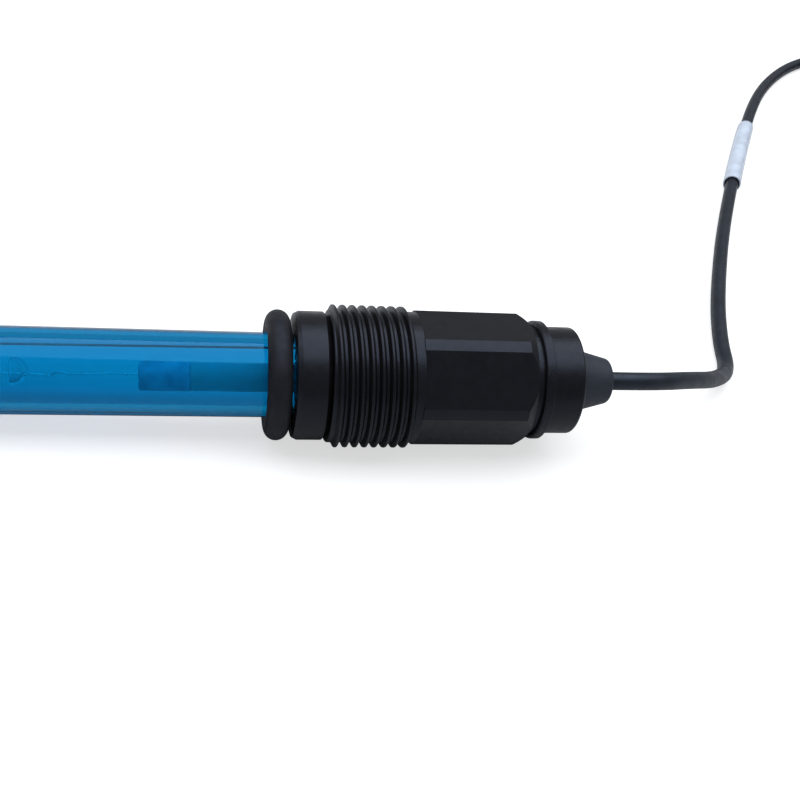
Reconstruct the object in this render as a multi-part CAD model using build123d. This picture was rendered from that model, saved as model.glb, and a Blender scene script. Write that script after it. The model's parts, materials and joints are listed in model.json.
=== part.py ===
from build123d import *
from math import asin, cos, degrees, pi, radians, sin, tan
import os

# A laboratory and pool pH electrode, lying on a table with its cable.
# The electrode is drawn along X about its own axis, with x = 0 at the front face of
# the screw head, the glass tip towards -X and the cable towards +X. At the end it is
# tilted onto the table, where it rests on its tip and on its first thread crest.
# All sizes are in millimetres.

# Shaft: a clear tube with a slotted guard round the glass bulb
INSERTION_L = 120.0
SHAFT_D = 12.0
SHAFT_BORE_D = 9.0
SHAFT_SOCKET_L = 28.0
GUARD_SLOTS = 4
GUARD_SLOT_W = 3.2
GUARD_SLOT_L = 12.5
TIP_ROUND = 0.6

# Seals that sit on the shaft under the head
COLLAR_D = 18.3
COLLAR_L = 4.85
COLLAR_EDGE = 0.7
ORING_SECTION = 3.4
ORING_GAP = 0.5
ORING_SEAT_W = 3.9
ORING_SEAT_DEPTH = 0.18
SHAFT_CLEARANCE = 0.03

# Screw head: thread, spanner flats and shoulder, moulded as one piece
THREAD_D = 20.4
THREAD_PITCH = 1.411
THREAD_DEPTH = 0.72
THREAD_ZONE_L = 12.6
THREAD_RUNOUT_L = 0.15
THREAD_LAND_W = 0.3
THREAD_ROOT_W = 0.171
THREAD_ROOT_OVERLAP = 0.15
THREAD_START_ANGLE = 48.0
HEX_ACROSS_FLATS = 17.6
HEX_CORNER_D = 19.4
HEX_BEVEL_L = 1.2
HEX_BEVEL_DEPTH = 0.85
HEX_TURN_ANGLE = 141.8
NECK_GROOVE_L = 1.1
NECK_GROOVE_DEPTH = 0.75
NECK_RING_D = 17.5
NECK_RING_L = 1.45
NECK_RING_ROUND = 0.55

# End cap and the boot that the cable leaves through
CAP_D = 15.8
CAP_L = 4.75
CAP_GAP = 0.12
CAP_ROUND = 0.45
CAP_SPIGOT_D = 11.0
CAP_SPIGOT_L = 3.2
CAP_SPIGOT_GAP = 0.47
BOOT_BASE_D = 9.8
BOOT_END_D = 6.6
BOOT_L = 6.1
BOOT_ROUND = 0.75
BOOT_FLANGE_D = 8.6
BOOT_FLANGE_L = 2.0
BOOT_NECK_D = 6.4

# Glass sensor and what is inside the shaft
BULB_GAP = 0.8
BULB_WALL = 0.4
BULB_SETBACK = 4.5
STEM_D = 5.3
STEM_WALL = 0.5
STEM_OPEN_END = 30.4
CAPILLARY_CLEARANCE = 0.05
CAPILLARY_WALL = 0.6
CAPILLARY_FRIT_GAP = 0.45
CAPILLARY_SETBACK = 10.0
SENSOR_WIRE_D = 0.3
SENSOR_WIRE_DROP = 0.9
STEM_SEAL_L = 6.0
STEM_SEAL_SETBACK = 16.0
FRIT_MARGIN = 0.275
CRIMP_PLUG_D = 4.4
CRIMP_PLUG_L = 6.9
CRIMP_PLUG_GAP = 4.4
CORE_SLEEVE_D = 4.3
CORE_SLEEVE_WALL = 0.5
CORE_DROP = 0.45
CORE_WIRE_D = 0.4
CORE_WIRE_GAP = 0.15
REFERENCE_WIRE_D = 0.35
REFERENCE_WIRE_ANGLE = 50.0
REFERENCE_WIRE_TIP_GAP = 2.0
REFERENCE_WIRE_SIDE_GAP = 0.225
TOP_SEAL_X = 8.0
TOP_SEAL_L = 12.0

# Cable, its identification sleeve and the coil that it is stored in
CABLE_D = 2.8
CABLE_EXIT_RUN = 8.0
ARC_SHARE = 0.45
MARKER_D = 3.9
MARKER_L = 34.0
MARKER_CLEARANCE = 0.1
MARKER_SETBACK = 13.0
COIL_MEAN_R = 14.0
COIL_LAYERS = 4
COIL_TURNS_A_LAYER = 2.08
TIE_T = 0.5
TIE_W = 4.0
TIE_ANGLE = 215.0
TIE_HEAD = 3.4

# Bayonet plug at the far end of the cable
PLUG_BOOT_GAP = 1.5
PLUG_BOOT_REAR_D = 4.6
PLUG_BOOT_WALL = 0.8
PLUG_BOOT_RIBS = 4
FERRULE_D = 6.4
FERRULE_WALL = 0.45
FERRULE_X = 6.5
FERRULE_L = 9.0
SHELL_SIDE_WALL = 0.85
SHELL_REAR_L = 6.3
SHELL_REAR_WALL = 1.5
SHELL_TAIL_SETBACK = 1.5
SHELL_FLANGE_LIP = 0.5
SHELL_FLANGE_L = 1.2
BARREL_D = 8.1
BARREL_WALL = 0.6
BARREL_L = 8.6
SLEEVE_WALL = 1.4
SLEEVE_GRIP_STEP = 0.95
SLEEVE_L = 14.4
SLEEVE_SETBACK = 3.0
SLEEVE_GRIP_L = 7.2
SLEEVE_FLUTES = 18
SLEEVE_FLUTE_R = 0.7
SLEEVE_CLEARANCE = 0.1
SLOT_W = 2.3
SLOT_TURN = 75.0
SLOT_PITCH_L = 3.6
SLOT_ENTRY_L = 1.6
WASHER_T = 0.35
WASHER_INSET = 0.2
GASKET_T = 0.6
GASKET_L = 1.1
GASKET_CLEARANCE = 0.25
PIN_D = 1.37
PIN_TIP_GAP = 1.0
INSULATOR_NOSE_D = 4.7
INSULATOR_NOSE_L = 2.6
INSULATOR_NOSE_SETBACK = 1.0
PLUG_LIFT = 0.05

# Places that follow from the sizes above
COLLAR_FRONT = -COLLAR_L
TIP_X = COLLAR_FRONT - INSERTION_L
ORING_X = COLLAR_FRONT - ORING_GAP - ORING_SECTION / 2
CAP_X = SHAFT_SOCKET_L + CAP_SPIGOT_GAP + CAP_SPIGOT_L
CAP_END = CAP_X + CAP_L
BOOT_END = CAP_END + BOOT_L
HEAD_END = CAP_X - CAP_GAP
RING_X = HEAD_END - NECK_RING_L
NECK_X = RING_X - NECK_GROOVE_L
HEX_X = THREAD_ZONE_L
HEX_L = NECK_X - HEX_X
THREAD_BASE_W = THREAD_PITCH - THREAD_ROOT_W
CREST_X = THREAD_BASE_W / 2 + 0.03
THREAD_TURNS = (THREAD_ZONE_L - THREAD_RUNOUT_L - THREAD_BASE_W / 2 - CREST_X) / THREAD_PITCH
BORE_R = SHAFT_D / 2 + SHAFT_CLEARANCE
STEM_SEAL_X = TIP_X + STEM_SEAL_SETBACK
BULB_D = SHAFT_BORE_D - 2 * BULB_GAP
FRIT_D = (SHAFT_BORE_D - STEM_D) / 2 - 2 * FRIT_MARGIN
CAPILLARY_D = STEM_D - 2 * STEM_WALL - 2 * CAPILLARY_CLEARANCE
CAPILLARY_X = STEM_SEAL_X + STEM_SEAL_L + CAPILLARY_FRIT_GAP
CAPILLARY_END = -STEM_OPEN_END - CAPILLARY_SETBACK
CRIMP_PLUG_X = -STEM_OPEN_END + CRIMP_PLUG_GAP
CRIMP_PLUG_END = CRIMP_PLUG_X + CRIMP_PLUG_L


def turned(points, rounds=None):
    """A solid of revolution about X from (x, radius) corners, some of them rounded."""
    radii = [(rounds or {}).get(i, 0) for i in range(len(points))]
    outline = FilletPolyline(*points, radius=radii, close=True)
    return revolve(Plane.XZ * make_face(outline), Axis.X)


def rod(x0, x1, diameter, y=0.0, z=0.0):
    """A round bar along X."""
    return Plane((x0, y, z), x_dir=(0, 1, 0), z_dir=(1, 0, 0)) * extrude(Circle(diameter / 2), x1 - x0)


def pipe(x0, x1, outer, inner, y=0.0, z=0.0):
    """A round tube along X."""
    return rod(x0, x1, outer, y, z) - rod(x0 - 1, x1 + 1, inner, y, z)


def wire_along(points, radii, diameter):
    """A round section carried along straight runs joined by tangent arcs."""
    path = FilletPolyline(*points, radius=radii)
    start = Plane(path @ 0, z_dir=path % 0)
    return sweep(start * Circle(diameter / 2), path=path)


# Shaft and seals

def body_tube():
    """Clear tube, open at the tip, where slots leave four prongs round the bulb."""
    seat_r = SHAFT_D / 2 - ORING_SEAT_DEPTH
    tube = turned(
        [
            (TIP_X, SHAFT_BORE_D / 2),
            (TIP_X, SHAFT_D / 2),
            (ORING_X - ORING_SEAT_W / 2, SHAFT_D / 2),
            (ORING_X - ORING_SEAT_W / 2, seat_r),
            (ORING_X + ORING_SEAT_W / 2, seat_r),
            (ORING_X + ORING_SEAT_W / 2, SHAFT_D / 2),
            (SHAFT_SOCKET_L, SHAFT_D / 2),
            (SHAFT_SOCKET_L, SHAFT_BORE_D / 2),
        ],
        {1: TIP_ROUND},
    )
    straight = GUARD_SLOT_L - GUARD_SLOT_W / 2
    slot = Pos(TIP_X + straight / 2, 0, 0) * Box(straight, SHAFT_D + 2, GUARD_SLOT_W)
    root = Pos(TIP_X + straight, 0, 0) * Rot(90, 0, 0) * Cylinder(GUARD_SLOT_W / 2, SHAFT_D + 2)
    for i in range(GUARD_SLOTS // 2):
        turn = Rot(45 + 180 * i / (GUARD_SLOTS // 2), 0, 0)
        tube = tube - turn * slot - turn * root
    return tube


def o_ring():
    """Sealing ring in its shallow seat, a little apart from the collar behind it."""
    centre_r = BORE_R - ORING_SEAT_DEPTH + ORING_SECTION / 2
    section = Plane.XZ * Pos(ORING_X, centre_r) * Circle(ORING_SECTION / 2)
    return revolve(section, Axis.X)


def thrust_collar():
    """Hard ring between the screw head and the sealing ring."""
    return turned(
        [
            (COLLAR_FRONT, BORE_R),
            (COLLAR_FRONT, COLLAR_D / 2 - COLLAR_EDGE / 2),
            (COLLAR_FRONT + COLLAR_EDGE, COLLAR_D / 2),
            (-COLLAR_EDGE, COLLAR_D / 2),
            (0, COLLAR_D / 2 - COLLAR_EDGE),
            (0, BORE_R),
        ],
        {1: 0.15, 2: 0.2, 3: 0.15},
    )


# Screw head

def thread_ridge():
    """Right-hand ridge that starts with a cut end at the head's front face."""
    crest_r = THREAD_D / 2
    root_r = crest_r - THREAD_DEPTH - THREAD_ROOT_OVERLAP
    base = THREAD_BASE_W / 2
    land = THREAD_LAND_W / 2
    outline = FilletPolyline(
        (root_r, -base), (crest_r, -land), (crest_r, land), (root_r, base),
        radius=[0, land * 0.8, land * 0.8, 0], close=True,
    )
    section = Plane.XZ * make_face(outline)
    path = Helix(THREAD_PITCH, THREAD_PITCH * THREAD_TURNS, root_r)
    ridge = sweep(section, path=path, is_frenet=True)
    return Pos(CREST_X, 0, 0) * Rot(THREAD_START_ANGLE + 90, 0, 0) * Rot(0, 90, 0) * ridge


def hexagon_body():
    """Spanner flats whose corners are turned round, with a bevelled rear edge."""
    corner_r = HEX_CORNER_D / 2
    turned_blank = turned(
        [
            (HEX_X, 0),
            (HEX_X, corner_r),
            (NECK_X - HEX_BEVEL_L, corner_r),
            (NECK_X, corner_r - HEX_BEVEL_DEPTH),
            (NECK_X, 0),
        ]
    )
    across = Plane((HEX_X, 0, 0), x_dir=(0, 1, 0), z_dir=(1, 0, 0))
    flats = RegularPolygon(HEX_ACROSS_FLATS / 2, 6, major_radius=False, rotation=HEX_TURN_ANGLE - 30)
    return across * extrude(flats, HEX_L) & turned_blank


def screw_head():
    """Threaded head with spanner flats and a grooved neck, bored for the shaft."""
    root_r = THREAD_D / 2 - THREAD_DEPTH
    core = turned(
        [(0, 0), (0, root_r), (HEX_X, root_r), (HEX_X, 0)],
        {1: 0.25},
    )
    ring_r = NECK_RING_D / 2
    neck = turned(
        [
            (NECK_X - 1, 0),
            (NECK_X - 1, ring_r - NECK_GROOVE_DEPTH),
            (RING_X, ring_r - NECK_GROOVE_DEPTH),
            (RING_X, ring_r),
            (HEAD_END, ring_r),
            (HEAD_END, 0),
        ],
        {3: NECK_RING_ROUND * 0.9, 4: 0.12},
    )
    head = core + thread_ridge() + hexagon_body() + neck
    head = head - rod(-1, SHAFT_SOCKET_L, 2 * BORE_R)
    return head - rod(SHAFT_SOCKET_L - 1, HEAD_END + 1, CAP_SPIGOT_D)


# End cap and cable boot

def end_cap():
    """Cap with a spigot in the head; the boot's flange is held inside it."""
    outside = turned(
        [
            (CAP_X - CAP_SPIGOT_L, 0),
            (CAP_X - CAP_SPIGOT_L, CAP_SPIGOT_D / 2),
            (CAP_X, CAP_SPIGOT_D / 2),
            (CAP_X, CAP_D / 2),
            (CAP_END, CAP_D / 2),
            (CAP_END, 0),
        ],
        {3: 0.12, 4: CAP_ROUND},
    )
    pocket = rod(CAP_X - CAP_SPIGOT_L - 1, CAP_END - BOOT_FLANGE_L, BOOT_FLANGE_D)
    return outside - pocket - rod(CAP_X, CAP_END + 1, BOOT_NECK_D)


def cable_boot():
    """Tapered rubber boot: flange inside the cap, neck through it, cone outside."""
    flange_x = CAP_END - BOOT_FLANGE_L
    boot = turned(
        [
            (flange_x - BOOT_FLANGE_L, 0),
            (flange_x - BOOT_FLANGE_L, BOOT_FLANGE_D / 2),
            (flange_x, BOOT_FLANGE_D / 2),
            (flange_x, BOOT_NECK_D / 2),
            (CAP_END, BOOT_NECK_D / 2),
            (CAP_END, BOOT_BASE_D / 2),
            (BOOT_END, BOOT_END_D / 2),
            (BOOT_END, 0),
        ],
        {6: BOOT_ROUND},
    )
    return boot - rod(flange_x - BOOT_FLANGE_L - 1, BOOT_END + 1, CABLE_D)


def cable_entry():
    """The cable's own end, from the potted joint in the head to the boot's mouth."""
    return rod(SHAFT_SOCKET_L, BOOT_END, CABLE_D)


# Glass sensor and the inside of the shaft

def ph_glass():
    """Thin bulb blown on the end of a glass stem that is open at the head end."""
    bulb_r = BULB_D / 2
    bulb_x = TIP_X + BULB_SETBACK + bulb_r
    stem_r = STEM_D / 2

    def blown(radius, stem_radius, end):
        ball = Pos(bulb_x, 0, 0) * Sphere(radius)
        return ball + rod(bulb_x, end, 2 * stem_radius)

    outside = blown(bulb_r, stem_r, -STEM_OPEN_END)
    inside = blown(bulb_r - BULB_WALL, stem_r - STEM_WALL, -STEM_OPEN_END + 1)
    return outside - inside


def inner_capillary():
    """Glass capillary in the stem, with a rounded end that the wire is fused into."""
    end = CAPILLARY_END
    outer = CAPILLARY_D / 2
    inner = outer - CAPILLARY_WALL
    glass = turned(
        [
            (CAPILLARY_X, inner),
            (CAPILLARY_X, outer),
            (end, outer),
            (end, 0),
            (end - 2 * CAPILLARY_WALL, 0),
            (end - 2 * CAPILLARY_WALL, inner),
        ],
        {2: outer * 0.9},
    )
    return glass - sensor_wire()


def sensor_wire():
    """Thin wire from the capillary to the crimp plug, with the kink it was left with."""
    start = CAPILLARY_END
    drop = -SENSOR_WIRE_DROP
    route = [
        (start - 6.0, 0, drop),
        (start + 1.7, 0, drop - 0.1),
        (start + 2.8, 0, drop - 0.45),
        (start + 3.5, 0, drop + 0.5),
        (start + 4.6, 0, drop + 0.5),
        (start + 5.4, 0, drop + 0.05),
        (start + 7.2, 0, drop + 0.2),
        (start + 10.5, 0, -CORE_DROP + 0.05),
        (CRIMP_PLUG_X, 0, -CORE_DROP),
    ]
    return wire_along(route, turn_radii(route), SENSOR_WIRE_D)


def stem_seal():
    """Ring that holds the stem in the shaft, with a hole for the frit."""
    ring = pipe(STEM_SEAL_X, STEM_SEAL_X + STEM_SEAL_L, SHAFT_BORE_D, STEM_D)
    return ring - junction_frit()


def junction_frit():
    """Porous pin that joins the electrolyte to the sample."""
    middle = (SHAFT_BORE_D + STEM_D) / 4
    return rod(STEM_SEAL_X, STEM_SEAL_X + STEM_SEAL_L, FRIT_D, 0, -middle)


def crimp_plug():
    """Plug that the sensor wire is crimped into."""
    return turned(
        [
            (CRIMP_PLUG_X, 0),
            (CRIMP_PLUG_X, CRIMP_PLUG_D / 2),
            (CRIMP_PLUG_END, CRIMP_PLUG_D / 2),
            (CRIMP_PLUG_END, 0),
        ],
        {1: 0.3, 2: 0.3},
    ).moved(Location((0, 0, -CORE_DROP)))


def core_sleeve():
    """Insulating sleeve over the wire from the crimp plug to the cable."""
    inside = CORE_SLEEVE_D - 2 * CORE_SLEEVE_WALL
    return pipe(CRIMP_PLUG_END, SHAFT_SOCKET_L, CORE_SLEEVE_D, inside, 0, -CORE_DROP)


def core_wire():
    """Wire in the sleeve, sagging a little on its way to the cable."""
    sag = CORE_SLEEVE_D / 2 - CORE_SLEEVE_WALL - CORE_WIRE_D / 2 - CORE_WIRE_GAP
    reach = SHAFT_SOCKET_L - CRIMP_PLUG_END
    route = [
        (CRIMP_PLUG_END, 0, -CORE_DROP - 0.4 * sag),
        (CRIMP_PLUG_END + 0.19 * reach, 0, -CORE_DROP - sag),
        (CRIMP_PLUG_END + 0.47 * reach, 0, -CORE_DROP - 0.85 * sag),
        (SHAFT_SOCKET_L, 0, -CORE_DROP),
    ]
    return wire_along(route, turn_radii(route), CORE_WIRE_D)


def reference_wire():
    """Straight wire through the electrolyte, between the stem and the shaft's wall."""
    turn = radians(REFERENCE_WIRE_ANGLE)
    across = Vector(0, cos(turn), sin(turn))
    margin = REFERENCE_WIRE_SIDE_GAP + REFERENCE_WIRE_D / 2
    tip_x = STEM_SEAL_X + STEM_SEAL_L + REFERENCE_WIRE_TIP_GAP
    tip = Vector(tip_x, 0, 0) + across * (STEM_D / 2 + margin)
    head = Vector(TOP_SEAL_X + TOP_SEAL_L, 0, 0) + across * (SHAFT_BORE_D / 2 - margin)
    start = Plane(tip, z_dir=head - tip)
    return start * extrude(Circle(REFERENCE_WIRE_D / 2), (head - tip).length)


def top_seal():
    """Plug that closes the shaft inside the head, round the sleeve and the wire."""
    plug = rod(TOP_SEAL_X, TOP_SEAL_X + TOP_SEAL_L, SHAFT_BORE_D)
    plug = plug - rod(TOP_SEAL_X - 1, TOP_SEAL_X + TOP_SEAL_L + 1, CORE_SLEEVE_D, 0, -CORE_DROP)
    return plug - reference_wire()


# Cable

def turn_radii(route):
    """The largest arc that each corner's shorter run leaves room for."""
    corners = [Vector(*point) for point in route]
    radii = []
    for before, corner, after in zip(corners, corners[1:], corners[2:]):
        run_in = corner - before
        run_out = after - corner
        half_turn = radians(run_in.get_angle(run_out)) / 2
        radii.append(ARC_SHARE * min(run_in.length, run_out.length) / tan(half_turn))
    return radii


def tube_along(route, name):
    """The cable's tube along a route, with its radii and its volume printed."""
    radii = turn_radii(route)
    path = FilletPolyline(*route, radius=radii)
    start = Plane(path @ 0, z_dir=path % 0)
    tube = sweep(start * Circle(CABLE_D / 2), path=path)
    expected = pi * CABLE_D ** 2 / 4 * path.length
    print(name, "radii", [round(r, 1) for r in radii])
    print(name, "length", round(path.length, 1), "volume", round(tube.volume, 1), "of", round(expected, 1))
    return tube


def coil_section_r():
    """Inner and outer radius of the turns' centre lines."""
    spread = COIL_TURNS_A_LAYER * CABLE_D / 2
    return COIL_MEAN_R - spread, COIL_MEAN_R + spread


def cable_coil(centre):
    """The stored turns as one ring of their outer shape, lifted by the tie under it."""
    inner, outer = coil_section_r()
    half = CABLE_D / 2
    width = outer - inner + CABLE_D
    height = COIL_LAYERS * CABLE_D
    section = Pos(COIL_MEAN_R, TIE_T + height / 2) * RectangleRounded(width, height, half * 0.9)
    return Pos(centre.X, centre.Y, 0) * revolve(Plane.XZ * section, Axis.Z)


def coil_tie(centre):
    """Strap round the turns, with its locking head on the outside."""
    inner, outer = coil_section_r()
    width = outer - inner + CABLE_D
    height = COIL_LAYERS * CABLE_D
    corner = CABLE_D / 2 * 0.9
    loop = RectangleRounded(width + 2 * TIE_T, height + 2 * TIE_T, corner + TIE_T)
    loop = loop - RectangleRounded(width, height, corner)
    strap = Plane.XZ * Pos(COIL_MEAN_R, TIE_T + height / 2) * loop
    half_turn = degrees(TIE_W / 2 / COIL_MEAN_R)
    band = Rot(0, 0, -half_turn) * revolve(strap, Axis.Z, 2 * half_turn)
    head_x = COIL_MEAN_R + width / 2 + TIE_T / 2
    head = Pos(head_x + TIE_HEAD / 4, 0, TIE_T + height / 2) * Box(TIE_HEAD / 2, TIE_W + 1, TIE_HEAD)
    return Pos(centre.X, centre.Y, 0) * Rot(0, 0, TIE_ANGLE) * (band + head)


# Bayonet plug, drawn along X from the cable's entry at x = 0

PLUG_BOOT_FRONT_D = FERRULE_D + 2 * PLUG_BOOT_WALL
SHELL_REAR_X = FERRULE_X + FERRULE_L
PLUG_BOOT_L = SHELL_REAR_X - PLUG_BOOT_GAP
BARREL_BORE_D = BARREL_D - 2 * BARREL_WALL
SHELL_REAR_D = BARREL_BORE_D + 2 * SHELL_SIDE_WALL
GASKET_D = BARREL_D + 2 * GASKET_T
SLEEVE_BORE_D = GASKET_D + 2 * GASKET_CLEARANCE
SHELL_FLANGE_D = SLEEVE_BORE_D + 2 * SHELL_FLANGE_LIP
SLEEVE_NOSE_D = SLEEVE_BORE_D + 2 * SLEEVE_WALL
SLEEVE_D = SLEEVE_NOSE_D + 2 * SLEEVE_GRIP_STEP
SLEEVE_X = SHELL_REAR_X + SLEEVE_SETBACK
INSULATOR_X = SHELL_REAR_X + SHELL_REAR_WALL
FLANGE_X = SHELL_REAR_X + SHELL_REAR_L
BARREL_X = FLANGE_X + SHELL_FLANGE_L
BARREL_END = BARREL_X + BARREL_L
SLEEVE_END = SLEEVE_X + SLEEVE_L


def plug_boot():
    """Ribbed boot over the ferrule and the cable."""
    rear = PLUG_BOOT_REAR_D / 2
    front = PLUG_BOOT_FRONT_D / 2
    boot = turned(
        [(0, 0), (0, rear), (FERRULE_X, front), (PLUG_BOOT_L, front), (PLUG_BOOT_L, 0)],
        {1: 0.4, 3: 0.5},
    )
    step = FERRULE_X / (PLUG_BOOT_RIBS + 1)
    for i in range(PLUG_BOOT_RIBS):
        x = step * (i + 1)
        groove_r = rear + (front - rear) * x / FERRULE_X
        boot = boot - pipe(x - step / 4, x + step / 4, 2 * front + 2, 2 * groove_r - 0.7)
    boot = boot - rod(-1, FERRULE_X, CABLE_D)
    return boot - rod(FERRULE_X, PLUG_BOOT_L + 1, FERRULE_D)


def crimp_ferrule():
    """Tube crimped over the cable's screen."""
    return pipe(FERRULE_X, FERRULE_X + FERRULE_L, FERRULE_D, FERRULE_D - 2 * FERRULE_WALL)


def plug_shell():
    """Body of the plug: crimp tail, rear body, flange and front barrel."""
    tail_r = FERRULE_D / 2 - FERRULE_WALL
    shell = turned(
        [
            (FERRULE_X + SHELL_TAIL_SETBACK, CABLE_D / 2),
            (FERRULE_X + SHELL_TAIL_SETBACK, tail_r),
            (SHELL_REAR_X, tail_r),
            (SHELL_REAR_X, SHELL_REAR_D / 2),
            (FLANGE_X, SHELL_REAR_D / 2),
            (FLANGE_X, SHELL_FLANGE_D / 2),
            (BARREL_X, SHELL_FLANGE_D / 2),
            (BARREL_X, BARREL_D / 2),
            (BARREL_END, BARREL_D / 2),
            (BARREL_END, BARREL_BORE_D / 2),
            (INSULATOR_X, BARREL_BORE_D / 2),
            (INSULATOR_X, CABLE_D / 2),
        ],
        {3: 0.3, 8: 0.15},
    )
    return shell


def plug_insulator():
    """Insulator in the shell, with a nose round the pin."""
    nose_x = BARREL_X + INSULATOR_NOSE_SETBACK
    insulator = turned(
        [
            (INSULATOR_X, PIN_D / 2),
            (INSULATOR_X, BARREL_BORE_D / 2),
            (nose_x, BARREL_BORE_D / 2),
            (nose_x, INSULATOR_NOSE_D / 2),
            (nose_x + INSULATOR_NOSE_L, INSULATOR_NOSE_D / 2),
            (nose_x + INSULATOR_NOSE_L, PIN_D / 2),
        ],
        {4: 0.2},
    )
    return insulator


def centre_pin():
    """Pointed contact pin."""
    end = BARREL_END - PIN_TIP_GAP
    return turned(
        [(INSULATOR_X, 0), (INSULATOR_X, PIN_D / 2), (end - 0.6, PIN_D / 2), (end, 0.25), (end, 0)]
    )


def plug_core():
    """The cable's end in the plug, from the boot's mouth to the pin."""
    return rod(0, INSULATOR_X, CABLE_D)


def spring_washer():
    """Washer that pulls the coupling sleeve back."""
    x0 = FLANGE_X - WASHER_T
    return pipe(x0, FLANGE_X, SHELL_FLANGE_D - 2 * WASHER_INSET, SHELL_REAR_D)


def plug_gasket():
    """Rubber ring at the root of the barrel."""
    return pipe(BARREL_X, BARREL_X + GASKET_L, GASKET_D, BARREL_D)


def bayonet_slot():
    """Cutter for one slot: a straight entry, a ramp and a round end for the lug."""
    mid_r = (SLEEVE_NOSE_D + SLEEVE_BORE_D) / 4
    depth = SLEEVE_D - SLEEVE_BORE_D
    section = Plane.XZ * Pos(mid_r, 0) * Rectangle(depth, SLOT_W)
    helix = Helix(SLOT_PITCH_L * 360 / SLOT_TURN, SLOT_PITCH_L, mid_r)
    ramp = Rot(0, -90, 0) * sweep(section, path=helix, is_frenet=True)
    mouth_l = SLOT_ENTRY_L + SLOT_W / 2 + 1
    entry = Pos(mouth_l / 2 - SLOT_W / 2, 0, mid_r) * Box(mouth_l, SLOT_W, depth)
    seat = Pos(-SLOT_PITCH_L, 0, 0) * Rot(SLOT_TURN, 0, 0) * Pos(0, 0, mid_r) * Cylinder(SLOT_W * 0.56, depth)
    return Pos(SLEEVE_END - SLOT_ENTRY_L, 0, 0) * Part([ramp, entry, seat])


def coupling_sleeve():
    """Bayonet sleeve that turns on the shell: fluted grip, slotted nose, inner lip."""
    lip_r = SHELL_REAR_D / 2 + SLEEVE_CLEARANCE
    cavity_r = SHELL_FLANGE_D / 2 + SLEEVE_CLEARANCE
    lip_x = FLANGE_X - WASHER_T - 0.05
    sleeve = turned(
        [
            (SLEEVE_X, lip_r),
            (SLEEVE_X, SLEEVE_D / 2),
            (SLEEVE_X + SLEEVE_GRIP_L, SLEEVE_D / 2),
            (SLEEVE_X + SLEEVE_GRIP_L, SLEEVE_NOSE_D / 2),
            (SLEEVE_END, SLEEVE_NOSE_D / 2),
            (SLEEVE_END, SLEEVE_BORE_D / 2),
            (BARREL_X + 0.1, SLEEVE_BORE_D / 2),
            (BARREL_X + 0.1, cavity_r),
            (lip_x, cavity_r),
            (lip_x, lip_r),
        ],
        {1: 0.4, 2: 0.4, 4: 0.3},
    )
    flute = rod(SLEEVE_X - 1, SLEEVE_X + SLEEVE_GRIP_L + 0.01, 2 * SLEEVE_FLUTE_R, 0, SLEEVE_D / 2 + 0.25)
    for i in range(SLEEVE_FLUTES):
        sleeve = sleeve - Rot(360 * i / SLEEVE_FLUTES, 0, 0) * flute
    for i in range(2):
        for cutter in bayonet_slot():
            sleeve = sleeve - Rot(180 * i, 0, 0) * cutter
    return sleeve


# Assembly

def tilt_angle():
    """How far the axis rises towards the head when tip and thread both touch the table."""
    return degrees(asin((THREAD_D - SHAFT_D) / 2 / (CREST_X - TIP_X)))


def lay_on_table(solids):
    """Where the electrode goes: tilted, lowest point at z = 0, middle over the origin."""
    tilt = Rot(0, -tilt_angle(), 0)
    boxes = [(tilt * solid).bounding_box() for solid in solids.values()]
    low_x = min(box.min.X for box in boxes)
    high_x = max(box.max.X for box in boxes)
    middle_y = (min(box.min.Y for box in boxes) + max(box.max.Y for box in boxes)) / 2
    low_z = min(box.min.Z for box in boxes)
    return Pos(-(low_x + high_x) / 2, -middle_y, -low_z) * tilt


electrode = {
    "body_tube": body_tube(),
    "stem_seal": stem_seal(),
    "junction_frit": junction_frit(),
    "ph_glass": ph_glass(),
    "inner_capillary": inner_capillary(),
    "sensor_wire": sensor_wire(),
    "crimp_plug": crimp_plug(),
    "core_sleeve": core_sleeve(),
    "core_wire": core_wire(),
    "reference_wire": reference_wire(),
    "top_seal": top_seal(),
    "o_ring": o_ring(),
    "thrust_collar": thrust_collar(),
    "screw_head": screw_head(),
    "end_cap": end_cap(),
    "cable_boot": cable_boot(),
    "cable_entry": cable_entry(),
}
place = lay_on_table(electrode)
nodes = {name: place * solid for name, solid in electrode.items()}

# The cable's route: (x, y) from the boot's mouth, z above the table
mouth = place * Pos(BOOT_END, 0, 0)
first_turn = place * Pos(BOOT_END + CABLE_EXIT_RUN, 0, 0)
FLOOR_Z = CABLE_D / 2
LEAD_PLACES = [
    (16.7, 4.4, 8.9),
    (23.7, 9.9, 5.0),
    (30.0, 17.4, FLOOR_Z),
    (33.2, 25.4, FLOOR_Z),
    (38.7, 40.4, FLOOR_Z),
    (51.2, 68.4, MARKER_D / 2),
    (79.0, 121.0, MARKER_D / 2),
    (95.5, 146.0, FLOOR_Z),
    (114.5, 164.5, FLOOR_Z),
    (137.5, 173.5, FLOOR_Z + TIE_T),
]
exit_point = mouth.position
lead_route = [tuple(exit_point), tuple(first_turn.position)]
lead_route += [(exit_point.X + x, exit_point.Y + y, z) for x, y, z in LEAD_PLACES]
nodes["cable_lead"] = tube_along(lead_route, "cable_lead")

# The sleeve on the cable lies on the route's long straight run
marker_run = Vector(*lead_route[8]) - Vector(*lead_route[7])
marker_start = Vector(*lead_route[7]) + marker_run.normalized() * MARKER_SETBACK
marker_plane = Plane(marker_start, z_dir=marker_run)
marker = marker_plane * extrude(Circle(MARKER_D / 2) - Circle(CABLE_D / 2 + MARKER_CLEARANCE), MARKER_L)
nodes["label_sleeve"] = marker

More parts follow.
